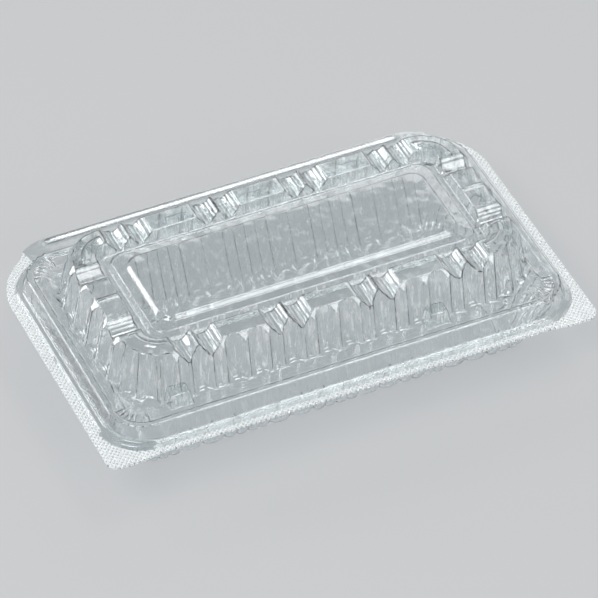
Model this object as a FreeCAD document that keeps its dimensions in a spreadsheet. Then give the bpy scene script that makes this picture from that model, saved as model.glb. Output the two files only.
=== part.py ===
import FreeCAD, Part
import math
import os

# A clear hinged food pack, thermoformed from one sheet: a tray and a lid that meet at a crease.
# Millimetres, +Z up, the long side along X, the crease at +Y, the snap side at -Y.
# The origin is under the middle of the pack, on the plane it stands on.

os.makedirs("parts", exist_ok=True)
doc = FreeCAD.newDocument("ClamshellPack")

# Sizes
SIZES = [
    ("sheet", 0.3, "thickness of the formed sheet"),
    ("rimgap", 0.3, "clearance between the two closed rims"),
    ("partingheight", 25.0, "height of the plane between the rims"),
    ("shift", -4.05, "middle of the window measured along Y from the middle of the pack"),
    ("rimlength", 200.0, "length of the rim"),
    ("creaseline", 67.7, "window middle to the crease"),
    ("rimfront", 58.2, "window middle to the middle of the front rim"),
    ("earfront", 59.6, "window middle to the front of the corner ears"),
    ("earlength", 12.0, "length of an ear's straight front, with its corner"),
    ("earcorner", 4.9, "how far an ear's rounded corner runs"),
    ("sidestraight", 39.0, "window middle to the back end of a straight side edge"),
    ("backcut", 13.0, "rounded back corner, measured in from the end of the rim"),
    ("backtip", 60.2, "window middle to the back end of that corner"),
    ("notchcut", 15.2, "notch beside the crease, measured in from the end of the rim"),
    ("notchtip", 63.7, "window middle to that notch"),
    ("leafcut", 25.0, "end of the crease, measured in from the end of the rim"),
    ("steplength", 193.0, "length of the step at the foot of the skirt"),
    ("stepdepth", 112.0, "depth of the step at the foot of the skirt"),
    ("stepheight", 1.8, "height of that step"),
    ("stepradius", 17.5, "corner radius of that step"),
    ("steplean", 0.8, "how far that step leans in"),
    ("skirtlength", 188.6, "length of the lid's skirt at its foot"),
    ("skirtwidth", 108.0, "depth of the lid's skirt at its foot"),
    ("skirtradius", 16.0, "corner radius of the skirt at its foot"),
    ("skirttaper", 2.5, "how far the skirt leans in over its height"),
    ("skirtheight", 8.0, "height of the skirt over the rim"),
    ("beadwidth", 2.4, "width of the bead on top of the skirt"),
    ("beadheight", 0.9, "drop from the bead to the ledge"),
    ("beadlean", 0.5, "how far the bead leans down to the ledge"),
    ("shoulderlength", 159.4, "length of the lid's shoulder"),
    ("shoulderwidth", 73.4, "depth of the lid's shoulder"),
    ("shoulderheight", 26.0, "height of the shoulder over the rim"),
    ("shoulderradius", 15.4, "corner radius of the shoulder"),
    ("walllean", 3.6, "how far the lid's wall leans out down to the ledge"),
    ("bevel", 3.2, "bevel over the ends of the wall's ridges"),
    ("flutedepth", 2.0, "depth of the flutes in the lid's wall"),
    ("moatlength", 141.0, "length of the lid's moat at its outer edge"),
    ("moatwidth", 55.4, "depth of the lid's moat at its outer edge"),
    ("moatradius", 6.0, "corner radius of the moat"),
    ("moatfloor", 21.2, "height of the moat's floor over the rim"),
    ("moatlean", 1.0, "how far the moat's outer wall leans"),
    ("framelength", 131.4, "length of the window's frame"),
    ("framewidth", 46.8, "depth of the window's frame"),
    ("frameradius", 5.0, "corner radius of the frame"),
    ("frameheight", 24.0, "height of the frame over the rim"),
    ("framelean", 1.6, "how far the frame's wall leans"),
    ("windowlength", 121.2, "length of the window panel"),
    ("windowwidth", 36.2, "depth of the window panel"),
    ("windowradius", 5.0, "corner radius of the window panel"),
    ("windowlean", 1.2, "how far the window panel's edge leans"),
    ("windowheight", 25.6, "height of the window panel over the rim"),
    ("pitch", 9.08, "pitch of the flutes and of the cross grooves"),
    ("grooveheight", 21.4, "height of the cross grooves' floor over the rim"),
    ("groovefloor", 0.9, "half width of a cross groove's floor"),
    ("endgroove", 15.5, "window middle to the cross groove of a short side"),
    ("ribwidth", 1.5, "width of the narrow ribs on the shoulder"),
    ("ribheight", 0.8, "height of the raised ribs on the shoulder"),
    ("arcinner", 8.6, "inner radius of the corner beads"),
    ("arcouter", 11.8, "outer radius of the corner beads"),
    ("snapleft", -65.4, "snap stud on the left, along X"),
    ("snapright", 39.3, "snap stud on the right, along X"),
    ("snapwidth", 9.6, "width of a snap stud"),
    ("snapreach", 5.6, "how far a snap stud stands out of the wall"),
    ("snapheight", 5.4, "height of a snap stud over the ledge"),
    ("mouthlength", 185.0, "length of the tray's mouth"),
    ("mouthwidth", 102.0, "depth of the tray's mouth"),
    ("mouthradius", 20.0, "corner radius of the tray's mouth"),
    ("mouthstep", 3.0, "depth of the step under the tray's mouth"),
    ("mouthlean", 0.6, "how far the mouth's wall leans"),
    ("traylength", 161.2, "length of the tray's foot"),
    ("traywidth", 77.6, "depth of the tray's foot"),
    ("trayradius", 8.0, "corner radius of the tray's foot"),
    ("traylean", 10.5, "how far the tray's wall leans out up to its step"),
    ("bulgedepth", 1.9, "depth of the notches between the tray's large bulges"),
    ("rippledepth", 1.0, "depth of the notches between the tray's small bulges"),
    ("trayrise", 1.5, "rise of the tray's floor inside its foot"),
    ("footwidth", 6.5, "width of the tray's foot ring"),
    ("footlean", 1.2, "how far the foot ring's inner wall leans"),
    ("footbevel", 1.9, "bevel round the tray's foot"),
    ("barlength", 4.6, "length of the radial bars on the ledge's corners"),
    ("barwidth", 1.3, "width of those bars"),
    ("barheight", 0.7, "height of those bars"),
    ("leafbead", 1.8, "width of the bead along the crease"),
    ("leafinset", 1.2, "crease to that bead"),
    ("leafheight", 0.8, "height of that bead"),
    ("leaflength", 150.0, "length of that bead"),
]

sheet = doc.addObject("Spreadsheet::Sheet", "Sizes")
for row, (name, value, note) in enumerate(SIZES, start=1):
    sheet.set(f"A{row}", name)
    sheet.set(f"B{row}", str(value))
    sheet.set(f"C{row}", note)
    sheet.setAlias(f"B{row}", name)
doc.recompute()


def size(name):
    return float(sheet.get(name))


def vec(x, y, z):
    return FreeCAD.Vector(x, y, z)


# Outlines
def rounded(length, width, radius, z):
    a = length / 2.0
    b = width / 2.0
    h = radius * math.sqrt(0.5)
    edges = []
    turns = [(1, 1), (-1, 1), (-1, -1), (1, -1)]
    for i, (sx, sy) in enumerate(turns):
        cx = sx * (a - radius)
        cy = sy * (b - radius)
        side = vec(sx * a, cy, z)
        end = vec(cx, sy * b, z)
        middle = vec(cx + sx * h, cy + sy * h, z)
        start, stop = (side, end) if sx * sy > 0 else (end, side)
        edges.append(Part.Arc(start, middle, stop).toShape())
    ring = []
    for i, arc in enumerate(edges):
        ring.append(arc)
        following = edges[(i + 1) % 4]
        ring.append(Part.LineSegment(arc.Vertexes[-1].Point, following.Vertexes[0].Point).toShape())
    return Part.Wire(ring)


def add_shape(name, shape):
    item = doc.addObject("Part::Feature", name)
    item.Shape = shape
    return item


def add_shapes(name, solids):
    return [add_shape(f"{name}{i + 1}", solid) for i, solid in enumerate(solids)]


def add_block(name, low, high):
    # A solid between two rounded outlines, each (length, width, radius, height).
    sections = [add_shape(f"{name}Low", rounded(*low)), add_shape(f"{name}High", rounded(*high))]
    block = doc.addObject("Part::Loft", name)
    block.Sections = sections
    block.Solid = True
    block.Ruled = True
    return block


def add_cut(name, base, tool):
    item = doc.addObject("Part::Cut", name)
    item.Base = base
    item.Tool = tool
    return item


def add_fuse(name, shapes):
    item = doc.addObject("Part::MultiFuse", name)
    item.Shapes = shapes
    item.Refine = False
    return item


# Waved walls
def lay_points(radius, centre, marks):
    # Points round a rounded outline: each straight side and corner carries its own marks.
    # A mark is (fraction along, depth); the side starts at +Y on the right and runs left.
    cx, cy = centre
    points = []
    corners = [(1, 1, 0.0), (-1, 1, 90.0), (-1, -1, 180.0), (1, -1, 270.0)]
    for sx, sy, begin in corners:
        for share, depth in marks["corner"]:
            angle = math.radians(begin + 90.0 * share)
            reach = radius - depth
            points.append((sx * cx + reach * math.cos(angle), sy * cy + reach * math.sin(angle)))
        along = "long" if begin in (0.0, 180.0) else "short"
        for share, depth in marks[along]:
            run = 1.0 - 2.0 * share
            reach = radius - depth
            if begin == 0.0:
                points.append((cx * run, cy + reach))
            elif begin == 90.0:
                points.append((-cx - reach, cy * run))
            elif begin == 180.0:
                points.append((-cx * run, -cy - reach))
            else:
                points.append((cx + reach, -cy * run))
    return points


def ring_solid(rings):
    # A closed solid through rings of equal point counts, flat faces wherever four points lie flat.
    def face(points):
        kept = [p for i, p in enumerate(points) if p.distanceToPoint(points[i - 1]) > 1e-6]
        if len(kept) < 3:
            return None
        wire = Part.makePolygon(kept + [kept[0]])
        return Part.Face(wire)

    faces = [face(rings[0]), face(rings[-1])]
    for low, high in zip(rings, rings[1:]):
        count = len(low)
        for i in range(count):
            j = (i + 1) % count
            a, b, c, d = low[i], low[j], high[j], high[i]
            normal = (b - a).cross(c - a)
            reach = abs((d - a).dot(normal)) / max(normal.Length, 1e-9)
            if reach < 1e-7:
                faces.append(face([a, b, c, d]))
            else:
                faces.append(face([a, b, c]))
                faces.append(face([a, c, d]))
    shell = Part.makeShell([f for f in faces if f is not None])
    solid = Part.makeSolid(shell)
    if solid.Volume < 0:
        solid.reverse()
    return solid


def fluted_wall(offset, low):
    # The lid's wall: concave flutes between narrow ridges whose ends are bevelled.
    depth = size("flutedepth")
    top = size("shoulderheight") - offset
    group = [0.5, 1.0, 0.5]
    between = [1.0, 1.0]
    long_side = group + (between + group) * 3
    profile = ((0.0, 0.0), (0.13, 0.0), (0.34, 1.0), (0.66, 1.0), (0.87, 0.0))

    def marks(widths):
        laid = []
        begin = 0.0
        for width in widths:
            for share, deep in profile:
                laid.append(((begin + share * width) / sum(widths), deep * width))
            begin += width
        return laid

    pattern = {"long": marks(long_side), "short": marks([1.0] * 4), "corner": marks([1.0] * 4)}
    cx = size("shoulderlength") / 2.0 - size("shoulderradius")
    cy = size("shoulderwidth") / 2.0 - size("shoulderradius")
    ledge = size("skirtheight") - size("beadheight") - offset
    foot_radius = size("shoulderradius") + depth + size("walllean") - offset
    top_radius = size("shoulderradius") + depth - offset

    def ring(radius, z, weight):
        laid = {key: [(s, d * weight) for s, d in value] for key, value in pattern.items()}
        return [vec(x, y, z) for x, y in lay_points(radius, (cx, cy), laid)]

    bevel = size("bevel")
    lean = size("walllean") / (size("shoulderheight") - ledge - offset)
    bevel_radius = top_radius + lean * bevel
    base_radius = foot_radius + lean * (ledge - low)
    rings = [
        ring(base_radius, low, depth),
        ring(bevel_radius, top - bevel, depth),
        ring(top_radius - depth, top, 0.0),
    ]
    return ring_solid(rings)


def bulged_wall(offset, high):
    # The tray's wall, built mouth down: large bulges in pairs with four small ones between.
    foot = size("partingheight") - size("rimgap") / 2.0 - offset
    step = size("mouthstep")
    radius_foot = size("trayradius") - offset
    radius_step = radius_foot + size("traylean")
    cx = size("traylength") / 2.0 - size("trayradius")
    cy = size("traywidth") / 2.0 - size("trayradius")
    big = size("bulgedepth")
    small = size("rippledepth")

    def marks(widths):
        total = float(sum(w for w, _ in widths))
        laid = []
        begin = 0.0
        for width, deep in widths:
            laid.append((begin / total, deep))
            laid.append(((begin + 0.22 * width) / total, 0.0))
            laid.append(((begin + 0.78 * width) / total, 0.0))
            begin += width
        return laid

    period = [(1, small), (1, small), (2, big), (2, big), (1, big), (1, small)]
    pattern = {
        "long": marks(period * 4),
        "short": marks([(1, small)] * 14),
        "corner": marks([(1, small)] * 4),
    }

    def ring(radius, z, weight):
        laid = {key: [(s, d * weight) for s, d in value] for key, value in pattern.items()}
        return [vec(x, y, z) for x, y in lay_points(radius, (cx, cy), laid)]

    lean = size("traylean") / (foot + offset - step)
    bevel = size("footbevel")
    rings = [
        ring(radius_step + lean * (step - high), high, 1.0),
        ring(radius_foot + lean * bevel, foot - bevel, 1.0),
        ring(radius_foot - bevel * 0.8, foot, 0.6),
    ]
    return ring_solid(rings)


# Cross grooves and ribs
def cross_groove(offset, across, start, stop, turn):
    # A groove with sloped sides, laid along Y at X = across, then turned about Z.
    half = size("pitch") / 2.0
    top = size("shoulderheight")
    floor = size("grooveheight") - 1.35 * offset
    narrow = size("groovefloor")
    slope = (half - narrow) / (top - size("grooveheight"))
    rise = 6.0
    wide = narrow + slope * (top + rise - floor)
    profile = [
        vec(across - wide, start, top + rise),
        vec(across - narrow, start, floor),
        vec(across + narrow, start, floor),
        vec(across + wide, start, top + rise),
    ]
    solid = Part.Face(Part.makePolygon(profile + [profile[0]])).extrude(vec(0, stop - start, 0))
    solid.rotate(vec(0, 0, 0), vec(0, 0, 1), turn)
    return solid


def all_grooves(offset):
    pitch = size("pitch")
    inner = (size("moatwidth") + size("framewidth")) / 4.0
    outer = size("skirtwidth") / 2.0
    solids = []
    for group in (-1.5, -0.5, 0.5, 1.5):
        for side in (-0.5, 0.5):
            x = group * 4.0 * pitch + side * pitch
            solids.append(cross_groove(offset, x, inner, outer, 0.0))
            solids.append(cross_groove(offset, x, inner, outer, 180.0))
    inner = (size("moatlength") + size("framelength")) / 4.0
    outer = size("skirtlength") / 2.0
    for y in (-size("endgroove"), size("endgroove")):
        solids.append(cross_groove(offset, y, inner, outer, -90.0))
        solids.append(cross_groove(offset, y, inner, outer, 90.0))
    return Part.Compound(solids)


def shoulder_ribs(offset):
    # The narrow rib in the middle of each short side and the quarter-round beads of the corners.
    top = size("shoulderheight") - offset
    high = top + size("ribheight")
    moat = size("moatlength") / 2.0 + offset
    edge = size("shoulderlength") / 2.0 - offset
    half = size("ribwidth") / 2.0 - offset
    wide = half + 0.35
    solids = []
    for sign in (1, -1):
        low = [vec(moat, -wide, top - 1), vec(edge, -wide, top - 1), vec(edge, wide, top - 1), vec(moat, wide, top - 1)]
        cap = [vec(moat, -half, high), vec(edge, -half, high), vec(edge, half, high), vec(moat, half, high)]
        rib = ring_solid([[vec(p.x * sign, p.y, p.z) for p in low], [vec(p.x * sign, p.y, p.z) for p in cap]])
        solids.append(rib)
    inner = size("arcinner") + offset
    outer = size("arcouter") - offset
    cx = size("shoulderlength") / 2.0 - size("shoulderradius")
    cy = size("shoulderwidth") / 2.0 - size("shoulderradius")
    profile = [vec(inner, 0, top - 1), vec(outer, 0, top - 1), vec(outer - 0.7, 0, high), vec(inner + 0.7, 0, high)]
    face = Part.Face(Part.makePolygon(profile + [profile[0]]))
    for sx, sy, begin in ((1, 1, 0.0), (-1, 1, 90.0), (-1, -1, 180.0), (1, -1, 270.0)):
        arc = face.revolve(vec(0, 0, 0), vec(0, 0, 1), 90.0)
        arc.rotate(vec(0, 0, 0), vec(0, 0, 1), begin)
        arc.translate(vec(sx * cx, sy * cy, 0))
        solids.append(arc)
    return solids


def snap_studs(offset):
    # Two small studs at the foot of the front wall, where the lid snaps to the tray.
    ledge = size("skirtheight") - size("beadheight") - offset
    top = ledge + size("snapheight")
    wall = -size("shoulderwidth") / 2.0
    front = wall - size("walllean") - size("snapreach") + offset
    half = size("snapwidth") / 2.0 - offset
    solids = []
    for x in (size("snapleft"), size("snapright")):
        low = [vec(x - half, front, ledge - 2), vec(x + half, front, ledge - 2), vec(x + half, wall, ledge - 2),
               vec(x - half, wall, ledge - 2)]
        cap = [vec(x - half + 1, front + 0.8, top), vec(x + half - 1, front + 0.8, top),
               vec(x + half - 1, wall, top), vec(x - half + 1, wall, top)]
        solids.append(ring_solid([low, cap]))
    return solids


def corner_bars(offset):
    # Short radial bars on the ledge, seven to a corner.
    ledge = size("skirtheight") - size("beadheight") - offset
    height = ledge + size("barheight")
    half = size("barwidth") / 2.0 - offset * 0.8
    reach = size("skirtradius") - size("skirttaper") - size("beadwidth")
    cx = size("skirtlength") / 2.0 - size("skirtradius")
    cy = size("skirtwidth") / 2.0 - size("skirtradius")
    start = reach - size("barlength") + offset
    stop = reach + 0.4
    solids = []
    for sx, sy, begin in ((1, 1, 0.0), (-1, 1, 90.0), (-1, -1, 180.0), (1, -1, 270.0)):
        for i in range(7):
            low = [vec(start, -half, ledge - 1), vec(stop, -half, ledge - 1), vec(stop, half, ledge - 1),
                   vec(start, half, ledge - 1)]
            cap = [vec(start + 0.4, -half * 0.6, height), vec(stop, -half * 0.6, height),
                   vec(stop, half * 0.6, height), vec(start + 0.4, half * 0.6, height)]
            bar = ring_solid([low, cap])
            bar.rotate(vec(0, 0, 0), vec(0, 0, 1), begin + 9.0 + 12.0 * i)
            bar.translate(vec(sx * cx, sy * cy, 0))
            solids.append(bar)
    return solids


def crease_bead(offset, low):
    # A low bead beside the crease, which stiffens each hinge leaf.
    back = size("creaseline") - size("leafinset") - offset
    front = size("creaseline") - size("leafinset") - size("leafbead") + offset
    half = size("leaflength") / 2.0 - offset
    height = size("sheet") + size("leafheight") - offset
    foot = [vec(-half, front, low), vec(half, front, low), vec(half, back, low), vec(-half, back, low)]
    cap = [vec(-half + 0.4, front + 0.4, height), vec(half - 0.4, front + 0.4, height),
           vec(half - 0.4, back - 0.4, height), vec(-half + 0.4, back - 0.4, height)]
    return ring_solid([foot, cap])


# Lid skins: the outer and the inner surface of the same form, one sheet apart
def lid_skin(tag, offset, low, extras):
    twice = 2.0 * offset
    step = add_block(
        f"Step{tag}",
        (size("steplength") - twice, size("stepdepth") - twice, size("stepradius") - offset, low),
        (size("steplength") - 2 * size("steplean") - twice, size("stepdepth") - 2 * size("steplean") - twice,
         size("stepradius") - size("steplean") - offset, size("stepheight") - offset),
    )
    taper = size("skirttaper")
    skirt = add_block(
        f"Skirt{tag}",
        (size("skirtlength") - twice, size("skirtwidth") - twice, size("skirtradius") - offset, low),
        (size("skirtlength") - 2 * taper - twice, size("skirtwidth") - 2 * taper - twice,
         size("skirtradius") - taper - offset, size("skirtheight") - offset),
    )
    inset = taper + size("beadwidth")
    floor = size("skirtheight") - size("beadheight") - offset
    pocket = add_block(
        f"Pocket{tag}",
        (size("skirtlength") - 2 * (inset + size("beadlean")) + twice,
         size("skirtwidth") - 2 * (inset + size("beadlean")) + twice,
         size("skirtradius") - inset - size("beadlean") + offset, floor),
        (size("skirtlength") - 2 * inset + twice, size("skirtwidth") - 2 * inset + twice,
         size("skirtradius") - inset + offset, size("skirtheight") + 0.2),
    )
    skirt_cut = add_cut(f"SkirtPocketed{tag}", skirt, pocket)
    wall = add_shape(f"Wall{tag}", fluted_wall(offset, floor - 2.0))
    ribs = add_shapes(f"Rib{tag}", shoulder_ribs(offset))
    studs = add_shapes(f"Stud{tag}", snap_studs(offset))
    bars = add_shapes(f"Bar{tag}", corner_bars(offset))
    bead = add_shape(f"Bead{tag}", crease_bead(offset, low))
    ledge = add_fuse(f"Ledge{tag}", [skirt_cut] + studs + bars)
    ribbed = add_fuse(f"Ribbed{tag}", [wall] + ribs)
    lean = size("moatlean")
    moat = add_block(
        f"Moat{tag}",
        (size("moatlength") - 2 * lean + twice, size("moatwidth") - 2 * lean + twice,
         size("moatradius") - lean + offset, size("moatfloor") - offset),
        (size("moatlength") + 0.4 + twice, size("moatwidth") + 0.4 + twice,
         size("moatradius") + 0.2 + offset, size("shoulderheight") + 2.0),
    )
    moated = add_cut(f"Moated{tag}", ribbed, moat)
    grooves = add_shape(f"Grooves{tag}", all_grooves(offset))
    grooved = add_cut(f"Grooved{tag}", moated, grooves)
    slant = size("framelean")
    frame = add_block(
        f"Frame{tag}",
        (size("framelength") + 2 * slant - twice, size("framewidth") + 2 * slant - twice,
         size("frameradius") + slant - offset, size("moatfloor") - 1.0),
        (size("framelength") - twice, size("framewidth") - twice, size("frameradius") - offset,
         size("frameheight") - offset),
    )
    slope = size("windowlean")
    window = add_block(
        f"Window{tag}",
        (size("windowlength") + 2 * slope - twice, size("windowwidth") + 2 * slope - twice,
         size("windowradius") + slope - offset, size("frameheight") - offset - 0.5),
        (size("windowlength") - twice, size("windowwidth") - twice, size("windowradius") - offset,
         size("windowheight") - offset),
    )
    return add_fuse(f"Skin{tag}", [step, ledge, grooved, bead, frame, window] + extras)


def tray_skin(tag, offset, low, extras):
    twice = 2.0 * offset
    mouth = add_block(
        f"Mouth{tag}",
        (size("mouthlength") - twice, size("mouthwidth") - twice, size("mouthradius") - offset, low),
        (size("mouthlength") - 2 * size("mouthlean") - twice, size("mouthwidth") - 2 * size("mouthlean") - twice,
         size("mouthradius") - size("mouthlean") - offset, size("mouthstep") - offset),
    )
    wall = add_shape(f"Bulges{tag}", bulged_wall(offset, size("mouthstep") - offset - 1.0))
    ring = 2.0 * size("footwidth")
    foot = size("partingheight") - size("rimgap") / 2.0
    rise = size("trayrise")
    floor = add_block(
        f"Floor{tag}",
        (size("traylength") - ring - 2 * size("footlean") + twice,
         size("traywidth") - ring - 2 * size("footlean") + twice,
         size("trayradius") - size("footlean") + offset, foot - rise - offset),
        (size("traylength") - ring + twice, size("traywidth") - ring + twice, size("trayradius") + offset, foot + 1.0),
    )
    floored = add_cut(f"Floored{tag}", wall, floor)
    bead = add_shape(f"TrayBead{tag}", crease_bead(offset, low))
    return add_fuse(f"TraySkin{tag}", [mouth, floored, bead] + extras)


# Rims with their hinge leaves
def rim_outline(z):
    # Half the outline, from the middle of the front round to the middle of the crease.
    end = size("rimlength") / 2.0
    front = size("rimfront")
    ear = size("earfront")
    crease = size("creaseline")
    step = end - size("earlength")
    near = end - size("earcorner")
    side = size("sidestraight")
    tip = end - size("backcut")
    notch = end - size("notchcut")
    leaf = end - size("leafcut")
    right = [
        ("line", (0.0, -front), (step - 10.0, -front)),
        ("arc", (step - 10.0, -front), (step - 6.0, -front - 0.5), (step, -ear)),
        ("line", (step, -ear), (near, -ear)),
        ("arc", (near, -ear), (end - 1.4, -ear + 1.4), (end, -ear + size("earcorner"))),
        ("line", (end, -ear + size("earcorner")), (end, side)),
        ("arc", (end, side), (end - 4.8, side + 13.0), (tip, size("backtip"))),
        ("line", (tip, size("backtip")), (notch, size("notchtip"))),
        ("arc", (notch, size("notchtip")), (notch - 3.8, size("notchtip") + 2.3), (leaf, crease)),
        ("line", (leaf, crease), (0.0, crease)),
    ]
    edges = []
    for sign, run in ((1, right), (-1, reversed(right))):
        for kind, *points in run:
            spots = [vec(sign * x, y, z) for x, y in points]
            if sign < 0:
                spots.reverse()
            if kind == "line":
                edges.append(Part.LineSegment(*spots).toShape())
            else:
                edges.append(Part.Arc(*spots).toShape())
    return Part.Wire(edges)


def add_rim(name, z):
    plan = add_shape(f"{name}Plan", rim_outline(z))
    rim = doc.addObject("Part::Extrusion", name)
    rim.Base = plan
    rim.DirMode = "Custom"
    rim.Dir = vec(0, 0, 1)
    rim.setExpression("LengthFwd", "Sizes.sheet")
    rim.Solid = True
    return rim


thickness = size("sheet")
lid_rim = add_rim("LidRim", 0.0)
lid_outer = lid_skin("LidOut", 0.0, 0.0, [lid_rim])
lid_inner = lid_skin("LidIn", thickness, -1.0, [])
lid = add_cut("lid", lid_outer, lid_inner)

tray_rim = add_rim("TrayRim", 0.0)
tray_outer = tray_skin("Out", 0.0, 0.0, [tray_rim])
tray_inner = tray_skin("In", thickness, -1.0, [])
tray_up = add_cut("TrayUp", tray_outer, tray_inner)
tray = doc.addObject("Part::Mirroring", "tray")
tray.Source = tray_up
tray.Normal = vec(0, 0, 1)

for item, side in ((lid, "+"), (tray, "-")):
    item.Placement = FreeCAD.Placement(vec(0, 0, 0), FreeCAD.Rotation())
    item.setExpression("Placement.Base.y", "Sizes.shift")
    item.setExpression("Placement.Base.z", f"Sizes.partingheight {side} Sizes.rimgap / 2")
    item.Label = item.Name
doc.recompute()

for item in doc.Objects:
    if "Invalid" in item.State:
        raise RuntimeError(f"{item.Name} is in a bad state: {item.State}")
    if hasattr(item, "Shape"):
        if item.Shape.isNull():
            raise RuntimeError(f"{item.Name} has no shape")
        if not item.Shape.isValid():
            raise RuntimeError(f"{item.Name} has a bad shape")

for item in (tray, lid):
    if len(item.Shape.Solids) != 1:
        raise RuntimeError(f"{item.Label} has {len(item.Shape.Solids)} solids")
    print(item.Label, round(item.Shape.Volume, 1), item.Shape.BoundBox)
    item.Shape.exportStep(f"parts/{item.Label}.step")
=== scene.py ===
import math

import bpy
import numpy as np
from mathutils import Matrix, Vector


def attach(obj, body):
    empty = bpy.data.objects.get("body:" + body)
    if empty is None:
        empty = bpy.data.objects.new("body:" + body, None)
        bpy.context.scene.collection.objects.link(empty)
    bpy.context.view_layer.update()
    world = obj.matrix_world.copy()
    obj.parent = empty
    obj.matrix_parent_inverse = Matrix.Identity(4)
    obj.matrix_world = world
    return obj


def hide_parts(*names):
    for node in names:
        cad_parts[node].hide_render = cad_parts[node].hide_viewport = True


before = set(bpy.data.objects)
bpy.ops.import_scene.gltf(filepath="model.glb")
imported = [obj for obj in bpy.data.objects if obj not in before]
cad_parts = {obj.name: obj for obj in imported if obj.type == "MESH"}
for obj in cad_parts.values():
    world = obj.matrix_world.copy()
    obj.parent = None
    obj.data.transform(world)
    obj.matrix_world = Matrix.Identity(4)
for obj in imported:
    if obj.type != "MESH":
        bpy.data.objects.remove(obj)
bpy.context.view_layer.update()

# Main sizes, as in the CAD source: millimetres, x and y from the window's middle, z from the parting plane
MM = 0.001
SHIFT = -4.05  # y of the window's middle in the CAD frame
PARTING = 25.0  # height of the parting plane in the CAD frame
GAP = 0.3  # between the two closed rims
SHEET = 0.3  # thickness of the sheet
SHOULDER = 26.0  # height of the lid's shoulder
LEDGE = 7.1  # height of the lid's ledge
STEP_FOOT = (96.5, 56.0, 17.5)  # half length, half depth and corner radius of the rim's inner edge
LEAF_SHARE = 0.76  # share of a back corner's columns before the plain leaf beside the crease
LEAF_BEAD = 0.8  # height of the low bead on each leaf
JOIN = 0.12  # width of the rounded join between cut surfaces

# Guards for the geometry
FAR = 1e9
TINY = 1e-9
SLACK = 1e-6


def soft_min(a, b, k):
    """The lower of two heights, with a rounded join of width k."""
    h = np.clip(0.5 + 0.5 * (b - a) / k, 0.0, 1.0)
    return b * (1 - h) + a * h - k * h * (1 - h)


# Rings and their columns
ROUND_MOST = 0.45  # share of a run that a rounding may take
ROUND_LEAST = 0.02  # a shorter rounding is left sharp
RUN_SHARE = 0.14  # share of a corner's columns on each straight run beside its arc
RUN_LEAST = 0.3  # a shorter run gets no columns
SHARE_MARGIN = 0.0005  # columns nearer to a side's ends are left out
SHARE_STEP = 0.0016  # and so is one nearer to the column before it
CORNER, LONG, SHORT = 0, 1, 2


def soft_profile(stations):
    """Rings (half length, half depth, corner radius, height) along stations that end with a rounding."""
    points = np.array([station[:4] for station in stations], float)
    rings = [points[0]]
    for i in range(1, len(points) - 1):
        before = points[i - 1] - points[i]
        after = points[i + 1] - points[i]
        reach = [
            max(math.hypot(step[0], step[3]), math.hypot(step[1], step[3]))
            for step in (before, after)
        ]
        cut = min(stations[i][4], ROUND_MOST * reach[0], ROUND_MOST * reach[1])
        if cut < ROUND_LEAST:
            rings.append(points[i])
            continue
        start = points[i] + before * cut / reach[0]
        stop = points[i] + after * cut / reach[1]
        for t in (0.0, 0.5, 1.0):
            rings.append((1 - t) ** 2 * start + 2 * t * (1 - t) * points[i] + t * t * stop)
    rings.append(points[-1])
    return np.array(rings)


class Columns:
    """The columns that every ring shares: corners and sides in turn, each with its place along them."""

    def __init__(self, side_ends, long_shares, short_shares, corner_shares):
        """side_ends are the furthest x and y that the columns of the straight sides reach."""
        self.side_ends = side_ends
        kind, sign, share = [], [], []
        for i, corner in enumerate(((1, 1), (-1, 1), (-1, -1), (1, -1))):
            along = corner_shares if i % 2 == 0 else corner_shares[::-1]
            side = long_shares if i % 2 == 0 else short_shares
            kind += [CORNER] * len(along) + [(LONG, SHORT)[i % 2]] * len(side)
            sign += [corner] * (len(along) + len(side))
            share += list(along) + list(side)
        self.kind = np.array(kind)
        self.sign = np.array(sign, float)
        self.share = np.array(share)
        self.count = len(kind)

    def ring(self, a, b, r):
        """Where each column meets a rounded outline, and which way is out there."""
        cx, cy = a - r, b - r
        hold_x, hold_y = min(cx, self.side_ends[0]), min(cy, self.side_ends[1])
        first = RUN_SHARE if cy - hold_y > RUN_LEAST else 0.0
        last = RUN_SHARE if cx - hold_x > RUN_LEAST else 0.0
        turn = 0.5 * np.pi * np.clip((self.share - first) / (1.0 - first - last), 0.0, 1.0)
        x = cx + r * np.cos(turn)
        y = cy + r * np.sin(turn)
        if first:
            y -= (cy - hold_y) * np.clip(1.0 - self.share / first, 0.0, 1.0)
        if last:
            x -= (cx - hold_x) * np.clip(1.0 - (1.0 - self.share) / last, 0.0, 1.0)
        corner = np.column_stack([x, y])
        corner_out = np.column_stack([np.cos(turn), np.sin(turn)])
        run = 1.0 - 2.0 * self.share
        long_side = np.column_stack([hold_x * run, np.full(self.count, b)])
        short_side = np.column_stack([np.full(self.count, a), hold_y * run])
        pick = self.kind[:, None]
        xy = np.where(pick == CORNER, corner, np.where(pick == LONG, long_side, short_side))
        ahead = np.where(pick == LONG, [[0.0, 1.0]], [[1.0, 0.0]])
        out = np.where(pick == CORNER, corner_out, ahead)
        return xy * self.sign, out * self.sign


def join_shares(*groups):
    """Shares in order, without any that nearly meet."""
    inside = [s for group in groups for s in group if SHARE_MARGIN < s < 1.0 - SHARE_MARGIN]
    kept = []
    for share in sorted(inside):
        if not kept or share - kept[-1] > SHARE_STEP:
            kept.append(share)
    return kept


def unit_marks(widths, marks):
    """Shares along a side for the same marks in each of its units."""
    total = float(sum(widths))
    begins = np.cumsum([0.0] + list(widths[:-1]))
    return [(begin + mark * width) / total for begin, width in zip(begins, widths) for mark in marks]


def unit_places(shares, widths):
    """For shares along a side made of units: the place inside the unit, and which unit it is."""
    edges = np.cumsum([0.0] + list(widths)) / float(sum(widths))
    index = np.clip(np.searchsorted(edges, shares, side="right") - 1, 0, len(widths) - 1)
    return (shares - edges[index]) / (edges[index + 1] - edges[index]), index


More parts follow.
